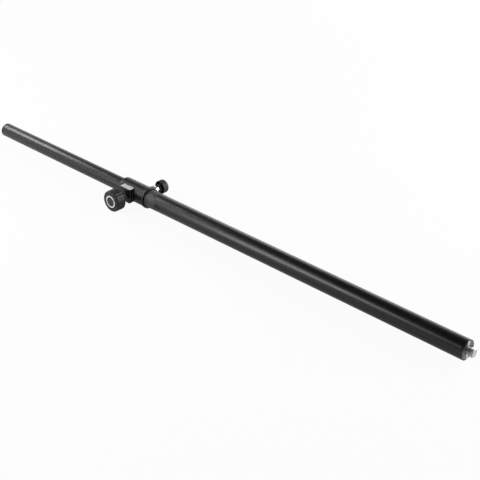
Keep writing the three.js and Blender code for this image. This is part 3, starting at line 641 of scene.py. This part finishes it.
# The casting: body, boss and pin boss are joined, bored, and rounded together as a casting is
def collar():
    lip_height, lip_slope, lip_edge, lip_corner = 5, 6.8, 0.7, 0.6
    lip_root, top_round, sides = 1.2, 3.2, 144
    body = scratch(lathe([
        (0, 0), (LIP_RADIUS, 0, lip_edge), (LIP_RADIUS, lip_height, lip_corner),
        (COLLAR_RADIUS, lip_slope, lip_root), (COLLAR_RADIUS, COLLAR_LENGTH, top_round),
        (0, COLLAR_LENGTH),
    ], sides))
    pin_boss_radius, pin_boss_edge, pin_boss_end = 12, 1.0, COLLAR_RADIUS + 4.3
    pin_boss = [
        (0, 0), (pin_boss_radius, 0), (pin_boss_radius, pin_boss_end, pin_boss_edge),
        (0, pin_boss_end),
    ]
    carve(body, [
        scratch(boss_shape(), clamp_side(CLAMP_RISE)),
        scratch(lathe(pin_boss), pin_side(PIN_RISE)),
    ], "UNION")
    overrun, reach = 2, 34
    mouth, shoulder = EXTENSION_RADIUS + SEAT_FIT, COLLAR_LENGTH - 5
    bore = [
        (0, -overrun), (COLLAR_BORE, -overrun), (COLLAR_BORE, shoulder), (mouth, shoulder),
        (mouth, COLLAR_LENGTH + overrun), (0, COLLAR_LENGTH + overrun),
    ]
    pocket_width, pocket_length, pocket_reach = 17.3, 23.3, 27.9
    insert_bore, housing_bore = 8, 8.3
    carve(body, [
        scratch(lathe(bore, POLE_SIDES)),
        scratch(block(pocket_width, pocket_length, 0, pocket_reach), clamp_side(CLAMP_RISE)),
        scratch(rod(insert_bore, 0, reach), clamp_side(CLAMP_RISE)),
        scratch(rod(housing_bore, 0, reach), pin_side(PIN_RISE)),
        *rivet_holes(COLLAR_RIVETS, COLLAR_RIVET_RISE),
    ])
    remesh = body.modifiers.new("remesh", "REMESH")
    remesh.mode = "VOXEL"
    remesh.voxel_size = 0.5
    smooth = body.modifiers.new("smooth", "SMOOTH")
    smooth.factor = 0.5
    smooth.iterations = 4
    settle(body)
    thin = body.modifiers.new("thin", "DECIMATE")
    thin.ratio = 0.2
    settle(body)
    body.data.transform(POLE @ Matrix.Translation((0, 0, COLLAR_STATION)))
    adopt(body, "collar_casting", casting_coat, "outer", "collar", SHARP_SOFT)


# A plain film label covers the flat top of the boss
def boss_label():
    near, far, half, corner, steps = 15.4, 29.6, 17.0, 1.2, 6
    under, over = BOSS_TOP + 0.02, BOSS_TOP + 0.18
    outline = filleted([
        (near, -half, corner), (far, -half, corner), (far, half, corner), (near, half, corner),
    ], True, steps)
    bm = bmesh.new()
    rings = [[bm.verts.new((height, p.y, p.x)) for p in outline] for height in (under, over)]
    finished("boss_label", skinned(bm, rings), CLAMP, label_film, "outer")


# The insert's flange is blackened, and only its turned nose is bright
def clamp_insert():
    foot, seat, flange_end, gap = 27.45, BOSS_REACH + SEAT_FIT, 33.25, 0.02
    shank, flange_radius, nose_radius, edge = 7.75, 10.75, 8.45, 0.3
    flange_edge, nose_edge = 0.5, 0.6
    flange = [
        (SCREW_BORE, foot, edge), (shank, foot, edge), (shank, seat), (flange_radius, seat, edge),
        (flange_radius, flange_end, flange_edge), (SCREW_BORE, flange_end),
    ]
    turned_piece("insert_flange", flange, CLAMP, dark_steel, "outer", "clamp_insert", 64)
    nose = [
        (SCREW_BORE, flange_end + gap), (nose_radius, flange_end + gap),
        (nose_radius, INSERT_END, nose_edge), (SCREW_BORE, INSERT_END, flange_edge),
    ]
    turned_piece("insert_nose", nose, CLAMP, bright_steel, "outer", None, 64)


# A knob's head: a profile turned round, with shallow flutes that fade out towards its flat faces
# and run out softly at their edges
def fluted(outline, flutes, per_flute, flute_radius, flute_depth, fade_from, fade_over):
    runout = 0.12
    around = flutes * per_flute
    bm = bmesh.new()
    rings = []
    for r, z in outline:
        fade = min(1.0, max(0.0, (r - fade_from) / fade_over))
        reach = r - flute_depth + flute_radius
        ring = []
        for i in range(around):
            angle = FULL_TURN * i / around
            offset = (i % per_flute - per_flute / 2) * FULL_TURN / around
            inside = flute_radius**2 - (reach * math.sin(offset)) ** 2
            dip = 0.0
            if inside > 0:
                dip = max(0.0, r - (reach * math.cos(offset) - math.sqrt(inside)))
            radius = r - dip * dip / (dip + runout) * fade
            ring.append(bm.verts.new((radius * math.cos(angle), radius * math.sin(angle), z)))
        rings.append(ring)
    return skinned(bm, rings)


# Adds points along the parts of a profile that lie outside a radius
def stepped(outline, beyond, step):
    out = []
    for a, b in zip(outline, outline[1:]):
        steps = max(1, round((b - a).length / step)) if a.x > beyond and b.x > beyond else 1
        out += [a.lerp(b, k / steps) for k in range(steps)]
    return [*out, outline[-1]]


# The clamp knob: shallow flutes round the head, a round front and a hollow back with a ribbed hub
def clamp_knob():
    back_radius, front_radius, pocket, centre = 26.4, 26.1, 21.6, 0.001
    field, field_floor = COVER_RADIUS + SEAT_FIT, KNOB_FRONT - 2.05
    pocket_floor = KNOB_HEAD_BACK + 10
    mouth_edge, back_round, front_round, field_edge, floor_edge = 0.6, 1.8, 6.5, 0.4, 0.1
    outline = filleted([
        (pocket, pocket_floor), (pocket, KNOB_HEAD_BACK, mouth_edge),
        (back_radius, KNOB_HEAD_BACK, back_round), (front_radius, KNOB_FRONT, front_round),
        (field, KNOB_FRONT, field_edge), (field, field_floor, floor_edge), (centre, field_floor),
    ], False, 8)
    head = fluted(
        stepped(outline, beyond=22.5, step=1.4), flutes=14, per_flute=16, flute_radius=4.0,
        flute_depth=1.0, fade_from=22.8, fade_over=1.6,
    )
    finished("knob_head", head, CLAMP, knob_plastic, "clamp_knob", "clamp_knob", SHARP_FLUTED)

    sunk = pocket_floor + 0.5
    hub_radius, hub_back_radius = 12, 15.5
    hub_edge, hub_round, hub_back_round = 0.3, 1.2, 0.8
    hub = [
        (SCREW_BORE, KNOB_HUB_REACH, hub_edge), (hub_radius, KNOB_HUB_REACH, hub_round),
        (hub_radius, KNOB_BACK), (hub_back_radius, KNOB_BACK, hub_back_round),
        (hub_back_radius, sunk), (SCREW_BORE, sunk),
    ]
    turned_piece("knob_hub", hub, CLAMP, knob_plastic, "clamp_knob", None, SMALL_SIDES)

    rib_length, rib_thickness, rib_middle, rib_setback, rib_edge = 7.5, 2, 18.4, 1.6, 0.3
    for i in range(KNOB_RIBS):
        rib = block(rib_length, rib_thickness, KNOB_HEAD_BACK + rib_setback, sunk)
        edges = list(rib.edges)
        bmesh.ops.bevel(rib, geom=edges, offset=rib_edge, segments=2, affect="EDGES")
        bmesh.ops.translate(rib, verts=rib.verts, vec=(rib_middle, 0, 0))
        turn = CLAMP @ Matrix.Rotation(i * FULL_TURN / KNOB_RIBS, 4, "Z")
        finished(f"knob_rib_{i + 1}", rib, turn, knob_plastic, "clamp_knob")


# The cover disc carries a plain bright ring round a dished centre
def knob_cover():
    foot, top, groove, dish, middle = (KNOB_FRONT - d for d in (1.8, 0, 0.3, 0.55, 0.6))
    groove_outside, groove_inside, wall, dish_edge, dish_radius = 15.5, 11.4, 11.0, 10.4, 4.0
    edge, wall_edge, dish_round, inner_round = 0.4, 0.1, 0.2, 3.0
    points = [
        (0, foot), (COVER_RADIUS, foot), (COVER_RADIUS, top, edge), (groove_outside, top),
        (groove_outside, groove), (groove_inside, groove), (wall, top, wall_edge),
        (dish_edge, top, dish_round), (dish_radius, dish, inner_round), (0, middle),
    ]
    turned_piece("cover_disc", points, CLAMP, cover_plastic, "clamp_knob", "knob_cover")
    inside, outside, ring_top, ring_edge = 11.6, 15.3, KNOB_FRONT - 0.05, 0.15
    ring = [
        (inside, groove), (outside, groove), (outside, ring_top, ring_edge),
        (inside, ring_top, ring_edge),
    ]
    turned_piece("cover_ring", ring, CLAMP, ring_foil, "clamp_knob")


# The index pin's housing, threaded where it goes through the boss and the lock nut
def pin_housing():
    foot, foot_radius, foot_edge, thread_start, neck_height = 21.75, 7.6, 0.2, 22.4, 30.1
    grooves = []
    groove_start, groove_end, groove_pitch, groove_radius = 30.4, 33.2, 1.0, 7.5
    height = groove_start
    while height < groove_end:
        grooves += [(HOUSING_THREAD_RADIUS, height), (groove_radius, height + groove_pitch / 2)]
        height += groove_pitch
    relief, relief_start, relief_end, end_round, stem_edge = 7.3, 33.6, 33.7, 0.9, 0.3
    bore, floor = 5.75, 24.95
    points = [
        (PIN_BORE, foot), (foot_radius, foot, foot_edge), (HOUSING_THREAD_RADIUS, thread_start),
        (HOUSING_THREAD_RADIUS, neck_height), *grooves, (relief, relief_start),
        (HOUSING_RADIUS, relief_end), (HOUSING_RADIUS, HOUSING_END, end_round),
        (STEM_BORE, HOUSING_END, stem_edge), (STEM_BORE, HOUSING_CAP_REACH),
        (bore, HOUSING_CAP_REACH), (bore, floor), (PIN_BORE, floor),
    ]
    turned_piece("housing_sleeve", points, PIN, plate_chrome, "outer", "pin_housing", SMALL_SIDES)


# A hexagon nut with turned corners
def lock_nut():
    low, high = LOCK_NUT_REACH, LOCK_NUT_END
    flats, bore, crown, corner, edge = 22.6, 8.3, 11.1, 1, 0.2
    points = flats / 2 / math.cos(math.pi / 6)
    nut = scratch(rod(points, low, high, 6))
    turned = scratch(lathe([
        (0, low), (crown, low, edge), (points, low + corner), (points, high - corner),
        (crown, high, edge), (0, high),
    ]))
    carve(nut, [turned], "INTERSECT")
    carve(nut, [scratch(rod(bore, low - 1, high + 1, SMALL_SIDES))])
    nut.data.transform(PIN)
    adopt(nut, "lock_nut_hex", plate_chrome, "outer", "pin_lock_nut", SHARP_CUT)


# The spring coils between the pin's shoulder and the end of the housing and shortens as the pin is
# pulled; here it is drawn at rest
def pin_spring():
    radius, wire, turns, low, high = 4.375, 0.5, 5, 31.95, 42.75
    around, steps = 10, 120
    bm = bmesh.new()
    rings = []
    for k in range(steps + 1):
        turn = FULL_TURN * turns * k / steps
        out = Vector((math.cos(turn), math.sin(turn), 0))
        centre = out * radius + Vector((0, 0, low + (high - low) * k / steps))
        ring = []
        for i in range(around):
            angle = FULL_TURN * i / around
            towards = Vector((*out.xy * math.cos(angle), math.sin(angle)))
            ring.append(bm.verts.new(centre + wire * towards))
        rings.append(ring)
    coil = finished(
        "spring_coil", skinned(bm, rings), PIN, bright_steel, "outer", "pin_spring", SHARP_SOFT
    )
    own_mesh(coil)


# The pin's knob: fine grip flutes, a domed top and a moulded hollow round its hub
def pin_knob():
    foot, top = PIN_KNOB_REACH, PIN_KNOB_END
    radius, lip, mouth, hollow, centre = 16.5, 15.8, 14.9, 14.6, 0.001
    hollow_floor, mouth_rise, lip_rise, rim_rise = foot + 11, foot + 3.4, foot + 3.0, foot + 4.2
    lip_edge, rim_edge, dome = 0.4, 0.8, 5.2
    outline = filleted([
        (hollow, hollow_floor), (mouth, mouth_rise, lip_edge), (lip, lip_rise, lip_edge),
        (radius, rim_rise, rim_edge), (radius, top, dome), (centre, top),
    ], False, 10)
    head = fluted(
        stepped(outline, beyond=15.2, step=1.2), flutes=24, per_flute=8, flute_radius=2.0,
        flute_depth=0.45, fade_from=15.0, fade_over=1.2,
    )
    finished("pin_knob_grip", head, PIN, knob_plastic, "index_pin", "pin_knob", SHARP_FLUTED)
    hub_radius, hub_root, sunk, edge, hub_round = 9, 9.6, foot + 11.5, 0.3, 0.8
    hub = [
        (STEM_BORE, foot, edge), (hub_radius, foot, hub_round), (hub_root, sunk),
        (STEM_BORE, sunk),
    ]
    turned_piece("pin_knob_hub", hub, PIN, knob_plastic, "index_pin", None, SMALL_SIDES)


# Extension tube with countersunk index holes, and a hole for the lower bush's pin
def extension_tube():
    low, high, bore_edge, edge = EXTENSION_STATION, EXTENSION_TOP, 0.4, 0.5
    tube = scratch(lathe([
        (EXTENSION_BORE, low, bore_edge), (EXTENSION_RADIUS, low, edge),
        (EXTENSION_RADIUS, high, edge), (EXTENSION_BORE, high, bore_edge),
    ], POLE_SIDES))
    radius, mouth, start, sink, sunk, reach, sink_round = 4.5, 5.3, 10, 16.9, 18.4, 20, 0.3
    hole = [
        (0, start), (radius, start), (radius, sink, sink_round), (mouth, sunk), (mouth, reach),
        (0, reach),
    ]
    cuts = [
        scratch(lathe(hole, HOLE_SIDES), pin_side(PIN_STATION + HOLE_PITCH * k))
        for k in range(HOLE_COUNT)
    ]
    cross_rise, cross_bore, cross_sides = 15, 2.25, 32
    cross = Matrix.Translation((0, 0, low + cross_rise)) @ Matrix.Rotation(QUARTER_TURN, 4, "Y")
    cuts.append(scratch(rod(cross_bore, -reach, reach, cross_sides), cross))
    carve(tube, cuts)
    tube.data.transform(POLE)
    adopt(tube, "extension_tube_skin", extension_coat, "extension", "extension_tube", SHARP_TUBE)


# The cap's crown, and the hollow spigot that holds it in the tube
def top_cap():
    low, high = EXTENSION_TOP + SEAT_FIT, EXTENDED_LENGTH
    spigot, bore, spigot_foot = EXTENSION_BORE - SEAT_FIT, 13.75, low - 22
    bore_edge, spigot_edge, seat_edge, crown_round = 0.4, 0.8, 0.25, 3.6
    points = [
        (0, low), (bore, low), (bore, spigot_foot, bore_edge), (spigot, spigot_foot, spigot_edge),
        (spigot, low), (EXTENSION_RADIUS, low, seat_edge), (EXTENSION_RADIUS, high, crown_round),
        (0, high),
    ]
    turned_piece("cap_crown", points, POLE, cap_plastic, "extension", "top_cap", POLE_SIDES, 10)


# CAD nodes that keep their own mesh get a finish
def dress_cad_nodes():
    finishes = {
        "guide_bush": bush_plastic,
        "clamp_shoe": bush_plastic,
        "clamp_screw": bright_steel,
        "index_pin": bright_steel,
        "extension_bush": bush_plastic,
        "bush_cross_pin": bright_steel,
    }
    for node, material in finishes.items():
        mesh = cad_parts[node].data
        mesh.materials.clear()
        mesh.materials.append(material)


# Combines two values, each given as a link or a number
def combined(tree, operation, first, second):
    node = added(tree, "ShaderNodeMath")
    node.operation = operation
    tree.links.new(first, node.inputs[0])
    if isinstance(second, float):
        node.inputs[1].default_value = second
    else:
        tree.links.new(second, node.inputs[1])
    return node.outputs[0]


# Floor under the pole, in metres. The camera sees it almost white but for the object's shadow, and
# metal sees part of that white
FLOOR_HALF = 6
FLOOR_MIDDLE = -0.7
FLOOR_GAP = 0.0004
FLOOR_GREY = 0.88
FLOOR_ROUGHNESS = 0.9
FLOOR_GLOW_SHARES = (("Is Camera Ray", 0.94), ("Is Glossy Ray", 0.3), ("Is Transmission Ray", 0.3))


def make_stage():
    bm = bmesh.new()
    bmesh.ops.create_grid(bm, x_segments=1, y_segments=1, size=FLOOR_HALF)
    mesh = bpy.data.meshes.new("studio_floor")
    bm.to_mesh(mesh)
    bm.free()
    floor = bpy.data.objects.new("studio_floor", mesh)
    floor.location = (FLOOR_MIDDLE, 0, cad_low.z - FLOOR_GAP)
    bpy.context.scene.collection.objects.link(floor)
    material, tree, shader = new_material("studio_floor")
    shader.inputs["Base Color"].default_value = (*grey(FLOOR_GREY), 1)
    shader.inputs["Roughness"].default_value = FLOOR_ROUGHNESS
    path = added(tree, "ShaderNodeLightPath")
    seen, glossy, through = (
        combined(tree, "MULTIPLY", path.outputs[ray], share) for ray, share in FLOOR_GLOW_SHARES
    )
    share = combined(tree, "MAXIMUM", combined(tree, "MAXIMUM", seen, glossy), through)
    glow = added(tree, "ShaderNodeEmission")
    mix = added(tree, "ShaderNodeMixShader")
    tree.links.new(share, mix.inputs["Fac"])
    tree.links.new(shader.outputs["BSDF"], mix.inputs[1])
    tree.links.new(glow.outputs["Emission"], mix.inputs[2])
    tree.links.new(mix.outputs["Shader"], tree.nodes["Material Output"].inputs["Surface"])
    mesh.materials.append(material)


# A studio with pale walls, a dark ceiling and a dim side behind the camera, which sees white all
# round. Heights and directions are parts of a unit vector
WALL_TOP, CEILING_FROM, CEILING = 0.25, 0.66, 0.03
DIM_TOWARDS, DIM_FROM, DIM_FULL, DIM_SIDE = (0.707, -0.707, 0), 0.1, 0.7, 0.12


def make_world():
    world = bpy.data.worlds.new("studio")
    bpy.context.scene.world = world
    world.use_nodes = True
    tree = world.node_tree
    background = tree.nodes["Background"]
    place = added(tree, "ShaderNodeTexCoord")

    def faded(value, start, end, least):
        node = added(tree, "ShaderNodeMapRange", {
            "From Min": start, "From Max": end, "To Min": 1.0, "To Max": least,
        })
        node.interpolation_type = "SMOOTHSTEP"
        tree.links.new(value, node.inputs["Value"])
        return node.outputs["Result"]

    split = added(tree, "ShaderNodeSeparateXYZ")
    tree.links.new(place.outputs["Generated"], split.inputs[0])
    side = added(tree, "ShaderNodeVectorMath")
    side.operation = "DOT_PRODUCT"
    side.inputs[1].default_value = DIM_TOWARDS
    tree.links.new(place.outputs["Generated"], side.inputs[0])
    wall = combined(
        tree, "MULTIPLY",
        faded(split.outputs["Z"], WALL_TOP, CEILING_FROM, CEILING),
        faded(side.outputs["Value"], DIM_FROM, DIM_FULL, DIM_SIDE),
    )
    path = added(tree, "ShaderNodeLightPath")
    strength = combined(tree, "MAXIMUM", wall, path.outputs["Is Camera Ray"])
    tree.links.new(strength, background.inputs["Strength"])
    background.inputs["Color"].default_value = (1, 1, 1, 1)


# Lamps, with place and target in metres, width and height in metres, and power in watts. The front
# lamp draws the broad streak on the outer tube and the far lamp the one on the extension. The back
# lamp lights the far side of the pole, the side lamp the bright metal and the tops, and the end
# lamp draws the fans on the turned seat
LAMPS = {
    "front_soft": ((-1.58, -1.33, 0.92), (-0.5, 0, 0), 0.55, 1.1, 15.5),
    "far_soft": ((-2.73, -0.20, 1.06), (-1.43, 0, 0), 0.9, 0.6, 14),
    "back_soft": ((-1.5, 2.1, 0.55), (-0.6, 0, 0), 2.4, 1.0, 9.5),
    "side_soft": ((0.4, 1.8, 1.2), (-0.4, 0, 0), 1.0, 1.0, 30),
    "end_soft": ((1.5, 1.7, 0.4), (0, 0, 0), 0.8, 0.5, 30),
}


def make_lights():
    for name, (place, target, width, height, power) in LAMPS.items():
        data = bpy.data.lights.new(name, "AREA")
        data.shape = "ELLIPSE"
        data.size = width
        data.size_y = height
        data.energy = power
        lamp = bpy.data.objects.new(name, data)
        lamp.location = place
        aim = Vector(target) - Vector(place)
        lamp.rotation_euler = aim.to_track_quat("-Z", "Y").to_euler()
        bpy.context.scene.collection.objects.link(lamp)


make_camera()
make_stage()
make_world()
make_lights()
outer_tube()
outer_band()
end_plug()
threaded_stud()
rivets()
collar()
boss_label()
clamp_insert()
clamp_knob()
knob_cover()
pin_housing()
lock_nut()
pin_spring()
pin_knob()
extension_tube()
top_cap()
dress_cad_nodes()

bpy.context.scene.view_settings.view_transform = "Standard"
